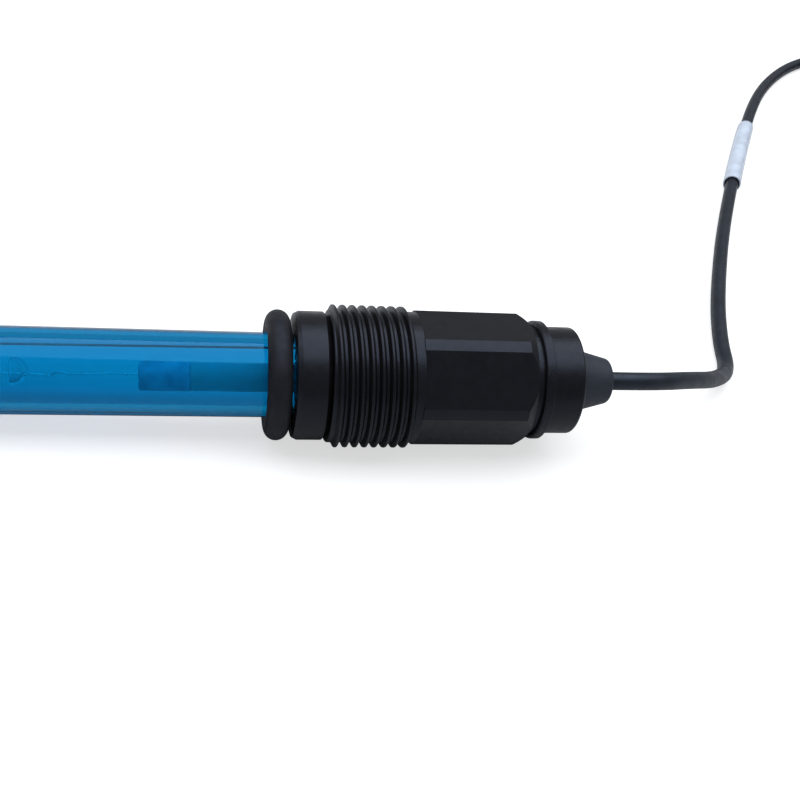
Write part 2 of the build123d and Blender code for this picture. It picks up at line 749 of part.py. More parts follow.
# The stored turns run clockwise from the lead to the plug's side
inner_r, outer_r = coil_section_r()
coil_in = Vector(*lead_route[-1])
heading = (coil_in - Vector(*lead_route[-2])).normalized()
coil_centre = Vector(coil_in.X + heading.Y * outer_r, coil_in.Y - heading.X * outer_r, 0)
nodes["cable_coil"] = cable_coil(coil_centre)
nodes["coil_tie"] = coil_tie(coil_centre)

# The tail leaves the top layer towards -Y and ends in the plug's boot
TAIL_TOP_Z = TIE_T + (COIL_LAYERS - 0.5) * CABLE_D
PLUG_AXIS_Z = SLEEVE_D / 2 + PLUG_LIFT
TAIL_PLACES = [
    (0.0, 0.0, TAIL_TOP_Z),
    (0.0, -7.5, TAIL_TOP_Z),
    (0.8, -15.5, PLUG_AXIS_Z),
    (0.8, -23.5, PLUG_AXIS_Z),
]
tail_x = coil_centre.X + outer_r
tail_route = [(tail_x + x, coil_centre.Y + y, z) for x, y, z in TAIL_PLACES]
nodes["cable_tail"] = tube_along(tail_route, "cable_tail")

plug = {
    "plug_boot": plug_boot(),
    "crimp_ferrule": crimp_ferrule(),
    "plug_core": plug_core(),
    "plug_shell": plug_shell(),
    "plug_insulator": plug_insulator(),
    "centre_pin": centre_pin(),
    "spring_washer": spring_washer(),
    "plug_gasket": plug_gasket(),
    "coupling_sleeve": coupling_sleeve(),
}
plug_place = Pos(*tail_route[-1]) * Rot(0, 0, -90)
nodes.update({name: plug_place * solid for name, solid in plug.items()})

os.makedirs("parts", exist_ok=True)
for name, solid in nodes.items():
    export_step(solid, f"parts/{name}.step")
    print(name, "volume", round(solid.volume, 2))
print("tilt", round(tilt_angle(), 3), "boot's mouth", [round(v, 3) for v in exit_point])
print("coil centre", [round(v, 3) for v in coil_centre], "turn radii", round(inner_r, 2), round(outer_r, 2))
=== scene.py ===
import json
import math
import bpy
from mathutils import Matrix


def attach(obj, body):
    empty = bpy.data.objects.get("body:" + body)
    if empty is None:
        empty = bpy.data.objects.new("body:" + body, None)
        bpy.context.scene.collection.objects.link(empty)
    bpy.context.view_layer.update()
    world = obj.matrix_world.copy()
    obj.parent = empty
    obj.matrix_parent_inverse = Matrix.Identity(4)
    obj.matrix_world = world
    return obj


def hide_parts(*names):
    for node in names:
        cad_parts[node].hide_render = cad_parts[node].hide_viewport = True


bl_info = {
    "name": "pH Electrode",
    "version": (1, 0, 0),
    "blender": (4, 5, 0),
    "location": "3D View > Sidebar > Electrode",
    "description": "Finishes, glass, cable and studio of a pH electrode with a screw head",
    "category": "Object",
}

import bpy
from mathutils import Matrix, Vector

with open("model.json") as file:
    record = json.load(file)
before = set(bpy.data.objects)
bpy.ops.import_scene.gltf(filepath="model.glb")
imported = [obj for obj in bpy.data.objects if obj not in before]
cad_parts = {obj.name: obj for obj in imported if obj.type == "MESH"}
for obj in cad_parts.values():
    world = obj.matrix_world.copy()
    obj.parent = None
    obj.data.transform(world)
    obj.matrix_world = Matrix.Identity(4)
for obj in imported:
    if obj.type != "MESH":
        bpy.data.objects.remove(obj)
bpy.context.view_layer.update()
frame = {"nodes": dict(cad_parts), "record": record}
NODES = frame["nodes"]
MM = 0.001

# Distances in metres below which points are one, or lie on one plane
MERGE = 1e-7
ON_PLANE = 1e-6

# The electrode's own axis: x = 0 at the head's front face, the cable towards +X
HEAD_MOUNT = next(m for m in frame["record"]["mounts"] if m["name"] == "head_thread")
HEAD_PLACE = Vector(HEAD_MOUNT["pos_m"])
HEAD_AXIS = -Vector(HEAD_MOUNT["axis"])
TILT = math.atan2(HEAD_AXIS.z, HEAD_AXIS.x)
LAY = Matrix.Translation(HEAD_PLACE) @ Matrix.Rotation(-TILT, 4, "Y")

# Places along that axis, in metres
TIP_X = -124.85 * MM
SOCKET_X = 28.0 * MM
BOOT_END_X = 42.52 * MM
BULB_FRONT_X = TIP_X + 4.5 * MM
STEM_END_X = -30.4 * MM
CAPILLARY_ROUND_X = -40.4 * MM
CAPILLARY_OPEN_X = -102.4 * MM

# Glass, in metres; the cut keeps off the ball's middle ring by a share of its radius
GLASS_WALL = 0.4 * MM
CAPILLARY_R = 2.1 * MM
CAPILLARY_WALL = 0.6 * MM
CUT_SHARE = 0.02

# Just under half the slot's width, so that the two arcs of its round end don't meet
SLOT_END_SHARE = 0.4999

# The body that every new piece rides on
ELECTRODE = "electrode"

# The cable's route as it lies on the table, in millimetres from the boot's mouth, z above the table
EXIT_RUN = 8.0
FLOOR_Z = 1.4
LIFT = 0.5
MARKER_Z = 1.95
LEAD_PLACES = [
    (16.7, 4.4, 8.9),
    (24.6, 9.5, 5.0),
    (31.2, 16.4, FLOOR_Z),
    (33.2, 25.4, FLOOR_Z),
    (38.7, 40.4, FLOOR_Z),
    (51.2, 68.4, MARKER_Z),
    (79.0, 121.0, MARKER_Z),
    (95.5, 146.0, FLOOR_Z),
    (114.5, 164.5, FLOOR_Z),
    (137.5, 173.5, FLOOR_Z + LIFT),
]
COIL_LAYERS = 4
COIL_TURNS_A_LAYER = 2.08
COIL_POINTS_A_TURN = 16
COIL_STEP_SHARE = 0.12
TAIL_TOP_Z = 10.3
PLUG_AXIS_Z = 7.3
TAIL_PLACES = [
    (0.0, 0.0, TAIL_TOP_Z),
    (0.0, -7.5, TAIL_TOP_Z),
    (0.8, -15.5, PLUG_AXIS_Z),
    (0.8, -23.5, PLUG_AXIS_Z),
]
PLUG_NODES = [
    "plug_boot", "crimp_ferrule", "plug_core", "plug_shell", "plug_insulator",
    "centre_pin", "spring_washer", "plug_gasket", "coupling_sleeve",
]

# The marker sleeve, in metres; its guide reaches past both ends by the margin
MARKER_WALL = 0.25 * MM
GUIDE_MARGIN = 4 * MM

# Camera and light
CAMERA_PLACE = (0.01851, -0.11361, 0.10570)
CAMERA_TURN = (49.236, -10.118, -8.179)
CAMERA_LENS = 47.25
SENSOR_W = 36.0
CAMERA_NEAR = 0.005
CAMERA_FAR = 20.0
PANEL_PLACE = (0.05, 0.10, 0.60)
PANEL_TARGET = (0.05, 0.02, 0.0)
PANEL_SIZE = (1.2, 0.75)
PANEL_POWER = 8.0
PANEL_COLOUR = (0.93, 0.96, 1.0)
WORLD_COLOUR = (0.90, 0.95, 1.0)
WORLD_LIGHT = 0.35
WORLD_SEEN = 1.0
FLOOR_GLOW = 0.62

# Tints of what the surfaces reflect, the cool one a painted reflection of bluish light, and the blue that
# deepens with the shaft's thickness
NO_TINT = (1.0, 1.0, 1.0)
PAINTED_COOL_REFLECTION = (0.64, 0.75, 1.0)
SHAFT_SHEEN = (0.10, 0.42, 0.65)
SHAFT_DEPTH_COLOUR = (0.03, 0.72, 0.84)
SHAFT_DEPTH_DENSITY = 1100.0


class ElectrodeSizes(bpy.types.PropertyGroup):
    """Sizes that a user would change"""

    cable_d: bpy.props.FloatProperty(
        name="Cable diameter", description="Outside diameter of the cable",
        default=0.0028, unit="LENGTH",
    )
    cable_length: bpy.props.FloatProperty(
        name="Cable length", description="Length from the boot's mouth to the plug's boot",
        default=1.0, unit="LENGTH",
    )
    coil_mean_r: bpy.props.FloatProperty(
        name="Coil radius", description="Radius at the middle of the stored turns",
        default=0.014, unit="LENGTH",
    )
    marker_d: bpy.props.FloatProperty(
        name="Marker sleeve diameter", description="Outside diameter of the sleeve on the cable",
        default=0.0039, unit="LENGTH",
    )
    shaft_d: bpy.props.FloatProperty(
        name="Shaft diameter", description="Outside diameter of the clear shaft",
        default=0.012, unit="LENGTH",
    )
    shaft_wall: bpy.props.FloatProperty(
        name="Shaft wall", description="Thickness of the clear shaft's wall",
        default=0.0015, unit="LENGTH",
    )


class ElectrodeColours(bpy.types.PropertyGroup):
    """Colours of the finishes"""

    shaft: bpy.props.FloatVectorProperty(
        name="Shaft", description="Tint of the clear shaft", subtype="COLOR", size=3,
        default=(0.09, 0.60, 0.76), min=0.0, max=1.0,
    )
    head: bpy.props.FloatVectorProperty(
        name="Head", description="Moulded plastic of the head, collar and cap", subtype="COLOR", size=3,
        default=(0.0048, 0.0042, 0.0046), min=0.0, max=1.0,
    )
    boot: bpy.props.FloatVectorProperty(
        name="Boot", description="Rubber of the cable boot", subtype="COLOR", size=3,
        default=(0.018, 0.020, 0.025), min=0.0, max=1.0,
    )
    jacket: bpy.props.FloatVectorProperty(
        name="Cable", description="Jacket of the cable", subtype="COLOR", size=3,
        default=(0.010, 0.012, 0.016), min=0.0, max=1.0,
    )
    # A white film, greyed and tinted blue: painted shade and painted cool light.
    marker: bpy.props.FloatVectorProperty(
        name="Marker sleeve", description="Film sleeve on the cable", subtype="COLOR", size=3,
        default=(0.50, 0.56, 0.66), min=0.0, max=1.0,
    )
    floor: bpy.props.FloatVectorProperty(
        name="Floor", description="Studio floor", subtype="COLOR", size=3,
        default=(0.50, 0.50, 0.50), min=0.0, max=1.0,
    )


def sizes():
    return bpy.context.scene.electrode_sizes


def colours():
    return bpy.context.scene.electrode_colours


# Finishes

def new_finish(name, colour, roughness, specular=0.5, sheen=NO_TINT):
    """A material with a principled shader, and that shader; sheen tints what it reflects, and the cool
    tint paints a bluish reflection.
    """
    material = bpy.data.materials.new(name)
    material.use_nodes = True
    shader = material.node_tree.nodes["Principled BSDF"]
    shader.inputs["Base Color"].default_value = (*colour, 1.0)
    shader.inputs["Roughness"].default_value = roughness
    shader.inputs["Specular IOR Level"].default_value = specular
    shader.inputs["Specular Tint"].default_value = (*sheen, 1.0)
    return material, shader


def add_node(owner, kind, **values):
    """A node in a material or world, with its plain settings and its inputs set by name."""
    node = owner.node_tree.nodes.new(kind)
    for key, value in values.items():
        if hasattr(node, key):
            setattr(node, key, value)
        else:
            node.inputs[key.replace("_", " ").title()].default_value = value
    return node


def link(owner, source, target):
    owner.node_tree.links.new(source, target)


def object_noise(material, scale, detail=3.0):
    """Noise on the object's own coordinates, in cycles a metre."""
    place = add_node(material, "ShaderNodeTexCoord")
    noise = add_node(material, "ShaderNodeTexNoise", scale=scale, detail=detail)
    link(material, place.outputs["Object"], noise.inputs["Vector"])
    return noise.outputs["Fac"]


def vary_roughness(material, shader, scale, low, high):
    """Roughness that drifts between two values over the surface."""
    spread = add_node(material, "ShaderNodeMapRange", from_min=0.3, from_max=0.7, to_min=low, to_max=high)
    link(material, object_noise(material, scale), spread.inputs["Value"])
    link(material, spread.outputs["Result"], shader.inputs["Roughness"])


def add_grain(material, shader, scale, strength, depth, detail=2.0):
    """Fine relief of a moulded or cast skin."""
    bump = add_node(material, "ShaderNodeBump", strength=strength, distance=depth)
    link(material, object_noise(material, scale, detail), bump.inputs["Height"])
    link(material, bump.outputs["Normal"], shader.inputs["Normal"])


def mottle(material, shader, colour, scale, share):
    """The colour drifts a little between a darker and a lighter tone."""
    ramp = add_node(material, "ShaderNodeValToRGB")
    darker, lighter = ramp.color_ramp.elements
    darker.position = 0.35
    lighter.position = 0.65
    darker.color = (*[c * (1 - share) for c in colour], 1.0)
    lighter.color = (*[min(1.0, c * (1 + share)) for c in colour], 1.0)
    link(material, object_noise(material, scale), ramp.inputs["Fac"])
    link(material, ramp.outputs["Color"], shader.inputs["Base Color"])


def see_through(shader, share, bending):
    """Light passes through this share of the surface and is bent by this index."""
    shader.inputs["Transmission Weight"].default_value = share
    shader.inputs["IOR"].default_value = bending


# The black finishes below reflect with a painted cool tint that stands in for bluish light.
def moulded_plastic():
    colour = colours().head
    material, shader = new_finish("moulded_black", colour, roughness=0.34, specular=0.26, sheen=PAINTED_COOL_REFLECTION)
    mottle(material, shader, colour, scale=260.0, share=0.18)
    vary_roughness(material, shader, scale=900.0, low=0.28, high=0.40)
    add_grain(material, shader, scale=4200.0, strength=0.25, depth=0.06 * MM)
    return material


def ring_rubber():
    colour = (0.007, 0.0065, 0.007)
    material, shader = new_finish("ring_black", colour, roughness=0.6, specular=0.28, sheen=PAINTED_COOL_REFLECTION)
    mottle(material, shader, colour, scale=500.0, share=0.25)
    vary_roughness(material, shader, scale=700.0, low=0.5, high=0.68)
    add_grain(material, shader, scale=5200.0, strength=0.35, depth=0.08 * MM)
    return material


def boot_rubber():
    colour = colours().boot
    material, shader = new_finish("boot_grey", colour, roughness=0.5, specular=0.32, sheen=PAINTED_COOL_REFLECTION)
    mottle(material, shader, colour, scale=400.0, share=0.15)
    vary_roughness(material, shader, scale=800.0, low=0.42, high=0.56)
    add_grain(material, shader, scale=3800.0, strength=0.3, depth=0.06 * MM)
    return material


def cable_jacket():
    colour = colours().jacket
    material, shader = new_finish("jacket_black", colour, roughness=0.4, specular=0.34, sheen=PAINTED_COOL_REFLECTION)
    mottle(material, shader, colour, scale=300.0, share=0.2)
    vary_roughness(material, shader, scale=600.0, low=0.34, high=0.48)
    add_grain(material, shader, scale=2600.0, strength=0.3, depth=0.08 * MM)
    return material


def clear_plastic():
    material, shader = new_finish("shaft_blue", colours().shaft, roughness=0.03, sheen=SHAFT_SHEEN)
    see_through(shader, share=1.0, bending=1.5)
    depth = add_node(material, "ShaderNodeVolumeAbsorption", density=SHAFT_DEPTH_DENSITY)
    depth.inputs["Color"].default_value = (*SHAFT_DEPTH_COLOUR, 1.0)
    output = material.node_tree.nodes["Material Output"]
    link(material, depth.outputs["Volume"], output.inputs["Volume"])
    add_grain(material, shader, scale=350.0, strength=0.06, depth=0.05 * MM, detail=1.0)
    return material


def clear_glass():
    material, shader = new_finish("sensor_glass", (0.93, 0.97, 0.98), roughness=0.02)
    see_through(shader, share=1.0, bending=1.2)
    add_grain(material, shader, scale=400.0, strength=0.05, depth=0.04 * MM, detail=1.0)
    return material


def sleeve_plastic():
    material, shader = new_finish("sleeve_clear", (0.97, 0.99, 1.0), roughness=0.2)
    see_through(shader, share=0.4, bending=1.3)
    add_grain(material, shader, scale=900.0, strength=0.1, depth=0.05 * MM)
    return material


def plug_plastic_painted_light():
    # Grey plastic painted lighter and bluer than it is: painted light that stands in for the light the
    # glass around it keeps off.
    colour = (0.58, 0.74, 0.90)
    material, shader = new_finish("plug_grey_painted_light", colour, roughness=0.55)
    mottle(material, shader, colour, scale=600.0, share=0.15)
    add_grain(material, shader, scale=2400.0, strength=0.3, depth=0.08 * MM)
    return material


def seal_rubber():
    colour = (0.42, 0.42, 0.40)
    material, shader = new_finish("seal_grey", colour, roughness=0.5)
    mottle(material, shader, colour, scale=500.0, share=0.12)
    add_grain(material, shader, scale=2600.0, strength=0.25, depth=0.08 * MM)
    return material


def ceramic():
    colour = (0.78, 0.76, 0.70)
    material, shader = new_finish("frit_white", colour, roughness=0.8)
    mottle(material, shader, colour, scale=2600.0, share=0.12)
    add_grain(material, shader, scale=9000.0, strength=0.6, depth=0.1 * MM)
    return material


def white_insulator():
    colour = (0.86, 0.86, 0.83)
    material, shader = new_finish("insulator_white", colour, roughness=0.45)
    mottle(material, shader, colour, scale=500.0, share=0.04)
    add_grain(material, shader, scale=2000.0, strength=0.15, depth=0.05 * MM)
    return material


def marker_film():
    # The white film's colour is greyed and tinted blue: painted shade and painted cool light.
    colour = colours().marker
    material, shader = new_finish("marker_white_painted_shade", colour, roughness=0.4)
    shader.inputs["Coat Weight"].default_value = 0.6
    shader.inputs["Coat Roughness"].default_value = 0.12
    mottle(material, shader, colour, scale=420.0, share=0.10)
    add_grain(material, shader, scale=700.0, strength=0.35, depth=0.12 * MM)
    return material


def tie_plastic():
    colour = (0.020, 0.020, 0.022)
    material, shader = new_finish("tie_black", colour, roughness=0.45)
    mottle(material, shader, colour, scale=500.0, share=0.2)
    add_grain(material, shader, scale=2600.0, strength=0.25, depth=0.06 * MM)
    return material


def drawn_metal(name, colour, roughness):
    material, shader = new_finish(name, colour, roughness)
    shader.inputs["Metallic"].default_value = 1.0
    mottle(material, shader, colour, scale=300.0, share=0.06)
    vary_roughness(material, shader, scale=700.0, low=roughness * 0.8, high=roughness * 1.25)
    add_grain(material, shader, scale=3000.0, strength=0.1, depth=0.03 * MM)
    return material


def silver():
    return drawn_metal("wire_silver", (0.80, 0.81, 0.82), roughness=0.25)


def dark_wire():
    return drawn_metal("wire_dark", (0.10, 0.10, 0.13), roughness=0.45)


def nickel():
    return drawn_metal("plug_nickel", (0.66, 0.64, 0.60), roughness=0.24)


def gold():
    return drawn_metal("pin_gold", (0.86, 0.64, 0.27), roughness=0.22)


NODE_FINISHES = [
    (moulded_plastic, ["screw_head", "thrust_collar", "end_cap"]),
    (ring_rubber, ["o_ring"]),
    (boot_rubber, ["cable_boot", "plug_boot"]),
    (cable_jacket, ["cable_entry", "plug_core"]),
    (seal_rubber, ["stem_seal", "top_seal", "plug_gasket"]),
    (ceramic, ["junction_frit"]),
    (silver, ["sensor_wire", "core_wire"]),
    (dark_wire, ["reference_wire"]),
    (plug_plastic_painted_light, ["crimp_plug"]),
    (sleeve_plastic, ["core_sleeve"]),
    (nickel, ["crimp_ferrule", "plug_shell", "spring_washer", "coupling_sleeve"]),
    (gold, ["centre_pin"]),
    (white_insulator, ["plug_insulator"]),
    (tie_plastic, ["coil_tie"]),
]


# Modelling helpers

def start_piece(name):
    """Names the object that an operator has just added."""
    piece = bpy.context.object
    piece.name = name
    piece.data.name = name
    return piece


def select_only(piece):
    bpy.ops.object.select_all(action="DESELECT")
    piece.select_set(True)
    bpy.context.view_layer.objects.active = piece


def apply_place():
    """Puts the selected object's place, turn and scale into its mesh."""
    bpy.ops.object.transform_apply(location=True, rotation=True, scale=True)


def place_mesh(piece, matrix):
    """Moves a piece by a matrix, in its mesh."""
    piece.matrix_world = matrix @ piece.matrix_world
    select_only(piece)
    apply_place()


def open_edit():
    """Opens edit mode on the active object with everything selected."""
    bpy.ops.object.mode_set(mode="EDIT")
    bpy.ops.mesh.select_all(action="SELECT")


def select_edges(piece, wanted):
    """Selects edges in object mode by a test on their two ends, then opens edit mode."""
    bpy.ops.object.mode_set(mode="EDIT")
    bpy.ops.mesh.select_mode(type="EDGE")
    bpy.ops.mesh.select_all(action="DESELECT")
    bpy.ops.object.mode_set(mode="OBJECT")
    points = [v.co for v in piece.data.vertices]
    for edge in piece.data.edges:
        edge.select = wanted(points[edge.vertices[0]], points[edge.vertices[1]])
    bpy.ops.object.mode_set(mode="EDIT")


def leave_edit():
    """Merges doubles, turns the normals outwards and closes edit mode."""
    bpy.ops.mesh.select_all(action="SELECT")
    bpy.ops.mesh.remove_doubles(threshold=MERGE)
    bpy.ops.mesh.normals_make_consistent(inside=False)
    bpy.ops.object.mode_set(mode="OBJECT")


def apply_modifier(piece, kind, **values):
    """Adds a modifier, sets it and applies it."""
    modifier = piece.modifiers.new(kind.title(), kind)
    for key, value in values.items():
        setattr(modifier, key, value)
    bpy.context.view_layer.objects.active = piece
    bpy.ops.object.modifier_apply(modifier=modifier.name)


def shade_smooth(piece, degrees):
    select_only(piece)
    bpy.ops.object.shade_smooth_by_angle(angle=math.radians(degrees))


def add_path(name, kind, places):
    """A curve object with one spline of this kind, through places in metres, and that spline."""
    bpy.ops.object.select_all(action="DESELECT")
    bpy.ops.curve.primitive_nurbs_path_add()
    path = start_piece(name)
    path.data.splines.clear()
    spline = path.data.splines.new(kind)
    spline.points.add(len(places) - 1)
    for point, place in zip(spline.points, places):
        point.co = (*place, 1.0)
    return path, spline


def finish_piece(piece, material, slot, body, *replaced):
    """Material, body and the nodes that the piece stands for; slot is not used."""
    piece.data.materials.clear()
    piece.data.materials.append(material)
    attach(piece, body)
    if replaced:
        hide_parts(*replaced)


# Cable

def coil_spread():
    """How far the turns of one layer reach across, in millimetres."""
    return COIL_TURNS_A_LAYER * sizes().cable_d / MM


def coil_outer_r():
    """Radius of the outermost turn's middle line, in millimetres."""
    return sizes().coil_mean_r / MM + coil_spread() / 2


def coil_points(start, centre):
    """Control points of the stored turns: in and out by layers, clockwise, from the bottom up."""
    cable = sizes().cable_d / MM
    arm = start - centre
    first_angle = math.atan2(arm.y, arm.x)
    turns = COIL_LAYERS * COIL_TURNS_A_LAYER
    count = round(turns * COIL_POINTS_A_TURN)
    step = 2 * math.pi * turns / count
    # A spline of order 3 cuts the corners of its polygon, which is drawn larger by as much
    stretch = 4 / (3 + math.cos(step))
    points = []
    for i in range(1, count):
        layer_place = i / count * COIL_LAYERS
        layer = int(layer_place)
        share = layer_place - layer
        inwards = share if layer % 2 == 0 else 1 - share
        climb = max(0.0, (share - 1 + COIL_STEP_SHARE) / COIL_STEP_SHARE)
        if layer == COIL_LAYERS - 1:
            climb = 0.0
        radius = (coil_outer_r() - coil_spread() * inwards) * stretch
        angle = first_angle - step * i
        z = LIFT + cable * (layer + 0.5 + climb * climb * (3 - 2 * climb))
        points.append((centre.x + radius * math.cos(angle), centre.y + radius * math.sin(angle), z))
    return points


def cable_points():
    """The whole cable's control points in millimetres, from the boot's mouth to the plug."""
    mouth = LAY @ Vector((BOOT_END_X, 0, 0)) / MM
    first = LAY @ Vector((BOOT_END_X + EXIT_RUN * MM, 0, 0)) / MM
    points = [tuple(mouth), tuple(first)]
    points += [(mouth.x + x, mouth.y + y, z) for x, y, z in LEAD_PLACES]
    coil_in = Vector(points[-1])
    heading = (coil_in - Vector(points[-2])).normalized()
    across = Vector((heading.y, -heading.x, 0)).normalized()
    centre = coil_in + across * coil_outer_r()
    points += coil_points(coil_in, centre)
    points += [(centre.x + coil_outer_r() + x, centre.y + y, z) for x, y, z in TAIL_PLACES]
    return points


def read_line(curve):
    """The points that the cable's spline runs through, read from the curve with no bevel."""
    bevel = curve.data.bevel_depth
    curve.data.bevel_depth = 0.0
    bpy.context.view_layer.update()
    line = bpy.data.meshes.new_from_object(curve)
    curve.data.bevel_depth = bevel
    points = [v.co.copy() for v in line.vertices]
    bpy.data.meshes.remove(line)
    return points


def part_of_line(route, first, last):
    """The points of a route between two distances along it."""
    travelled = 0.0
    kept = []
    for before, after in zip(route, route[1:]):
        travelled += (after - before).length
        if travelled > first:
            kept.append(after)
        if travelled > last:
            break
    return kept


class ELECTRODE_OT_cable(bpy.types.Operator):
    """Adds the cable with its stored turns, as one smooth line from the boot to the plug"""

    bl_idname = "electrode.cable"
    bl_label = "Cable"

    def execute(self, context):
        places = [[v * MM for v in place] for place in cable_points()]
        cable, spline = add_path("cable", "NURBS", places)
        for point in spline.points:
            point.radius = sizes().cable_d / 2
        spline.order_u = 3
        spline.use_endpoint_u = True
        spline.resolution_u = 8
        spline.use_smooth = True
        cable.data.bevel_depth = 1.0
        cable.data.bevel_resolution = 7
        cable.data.use_fill_caps = True
        finish_piece(
            cable, cable_jacket(), "cable_jacket", ELECTRODE,
            "cable_lead", "cable_coil", "cable_tail",
        )
        return {"FINISHED"}


class ELECTRODE_OT_marker(bpy.types.Operator):
    """Adds the film sleeve round the cable"""

    bl_idname = "electrode.marker"
    bl_label = "Marker sleeve"

    start: bpy.props.FloatProperty(
        name="Start", description="Along the cable", default=0.1085, unit="LENGTH",
    )
    length: bpy.props.FloatProperty(
        name="Length", description="Of the sleeve", default=0.034, unit="LENGTH",
    )

    def execute(self, context):
        route = read_line(bpy.data.objects["cable"])
        guide_end = self.start + self.length + GUIDE_MARGIN
        along = part_of_line(route, self.start - GUIDE_MARGIN, guide_end)
        guide, _ = add_path("marker_guide", "POLY", along)
        guide.data.twist_mode = "Z_UP"
        bpy.ops.object.select_all(action="DESELECT")
        bpy.ops.mesh.primitive_cylinder_add(
            vertices=48, radius=sizes().marker_d / 2, depth=self.length, end_fill_type="NOTHING",
            rotation=(0, math.pi / 2, 0), location=(GUIDE_MARGIN + self.length / 2, 0, 0),
        )
        marker = start_piece("marker_sleeve")
        apply_place()
        open_edit()
        bpy.ops.mesh.subdivide(number_cuts=1)
        leave_edit()
        for _ in range(3):
            select_edges(marker, lambda a, b: abs(a.x - b.x) > ON_PLANE)
            bpy.ops.mesh.subdivide(number_cuts=2)
            leave_edit()
        apply_modifier(marker, "SOLIDIFY", thickness=MARKER_WALL, offset=-1.0)
        apply_modifier(marker, "CURVE", object=guide, deform_axis="POS_X")
        bpy.data.objects.remove(guide)
        shade_smooth(marker, 35)
        finish_piece(marker, marker_film(), "marker_film", ELECTRODE, "label_sleeve")
        return {"FINISHED"}


# Glass and clear plastic

def tube_section(name, x0, x1, inner, outer, steps):
    """A tube turned from the rectangle that is its wall's section."""
    bpy.ops.object.select_all(action="DESELECT")
    bpy.ops.mesh.primitive_plane_add(size=1.0)
    piece = start_piece(name)
    piece.rotation_euler = (math.pi / 2, 0, 0)
    piece.scale = (x1 - x0, outer - inner, 1.0)
    piece.location = ((x0 + x1) / 2, 0, (inner + outer) / 2)
    apply_place()
    open_edit()
    bpy.ops.mesh.delete(type="ONLY_FACE")
    bpy.ops.mesh.select_all(action="SELECT")
    bpy.ops.mesh.spin(steps=steps, angle=2 * math.pi, center=(0, 0, 0), axis=(1, 0, 0))
    leave_edit()
    return piece


def slot_cutter(width, length, reach):
    """A bar across the tip that cuts two facing slots, with round ends."""
    bpy.ops.mesh.primitive_cube_add(size=1.0)
    cutter = start_piece("slot_cutter")
    cutter.scale = (2 * length, 4 * reach, width)
    cutter.location = (TIP_X, 0, 0)
    apply_place()
    select_edges(cutter, lambda a, b: a.x > TIP_X and b.x > TIP_X and abs(a.y - b.y) > reach)
    bpy.ops.mesh.bevel(offset=width * SLOT_END_SHARE, segments=12, affect="EDGES")
    leave_edit()
    return cutter


class ELECTRODE_OT_shaft(bpy.types.Operator):
    """Adds the clear shaft with the slotted guard at its tip"""

    bl_idname = "electrode.shaft"
    bl_label = "Clear shaft"

    slots: bpy.props.IntProperty(name="Slots", description="Slots in the guard, an even number", default=4)
    slot_w: bpy.props.FloatProperty(
        name="Slot width", description="Of one slot", default=0.0032, unit="LENGTH",
    )
    slot_l: bpy.props.FloatProperty(
        name="Slot length", description="Of one slot", default=0.0125, unit="LENGTH",
    )
    tip_round: bpy.props.FloatProperty(
        name="Tip round", description="Of the tip's edges", default=0.00024, unit="LENGTH",
    )

    def execute(self, context):
        outer = sizes().shaft_d / 2
        inner = outer - sizes().shaft_wall
        shaft = tube_section("clear_shaft", TIP_X, SOCKET_X, inner, outer, steps=144)
        for i in range(self.slots // 2):
            cutter = slot_cutter(self.slot_w, self.slot_l, outer)
            turn = 2 * math.pi / self.slots * (i + 0.5)
            place_mesh(cutter, Matrix.Rotation(turn, 4, "X"))
            apply_modifier(shaft, "BOOLEAN", operation="DIFFERENCE", object=cutter, solver="EXACT")
            bpy.data.objects.remove(cutter)
        place_mesh(shaft, LAY)
        apply_modifier(
            shaft, "BEVEL", width=self.tip_round, segments=3, limit_method="ANGLE",
            angle_limit=math.radians(50),
        )
        shade_smooth(shaft, 30)
        finish_piece(shaft, clear_plastic(), "blue_plastic", ELECTRODE, "body_tube")
        return {"FINISHED"}


def blown_glass(name, radius, centre_x, neck_r, end_x, wall):
    """A ball blown on the end of a stem, open at the stem's far end."""
    side = 1 if end_x > centre_x else -1
    bpy.ops.object.select_all(action="DESELECT")
    bpy.ops.mesh.primitive_uv_sphere_add(segments=96, ring_count=64, radius=radius)
    piece = start_piece(name)
    piece.rotation_euler = (0, math.pi / 2, 0)
    piece.location = (centre_x, 0, 0)
    apply_place()
    reach = math.sqrt(max(0.0, radius ** 2 - neck_r ** 2))
    cut_x = centre_x + side * max(reach, radius * CUT_SHARE)
    open_edit()
    bpy.ops.mesh.bisect(plane_co=(cut_x, 0, 0), plane_no=(side, 0, 0), clear_outer=True)
    select_edges(piece, lambda a, b: abs(a.x - cut_x) < ON_PLANE and abs(b.x - cut_x) < ON_PLANE)
    bpy.ops.mesh.extrude_region_move(TRANSFORM_OT_translate={"value": (end_x - cut_x, 0, 0)})
    leave_edit()
    apply_modifier(piece, "SOLIDIFY", thickness=wall, offset=-1.0)
    place_mesh(piece, LAY)
    shade_smooth(piece, 40)
    return piece


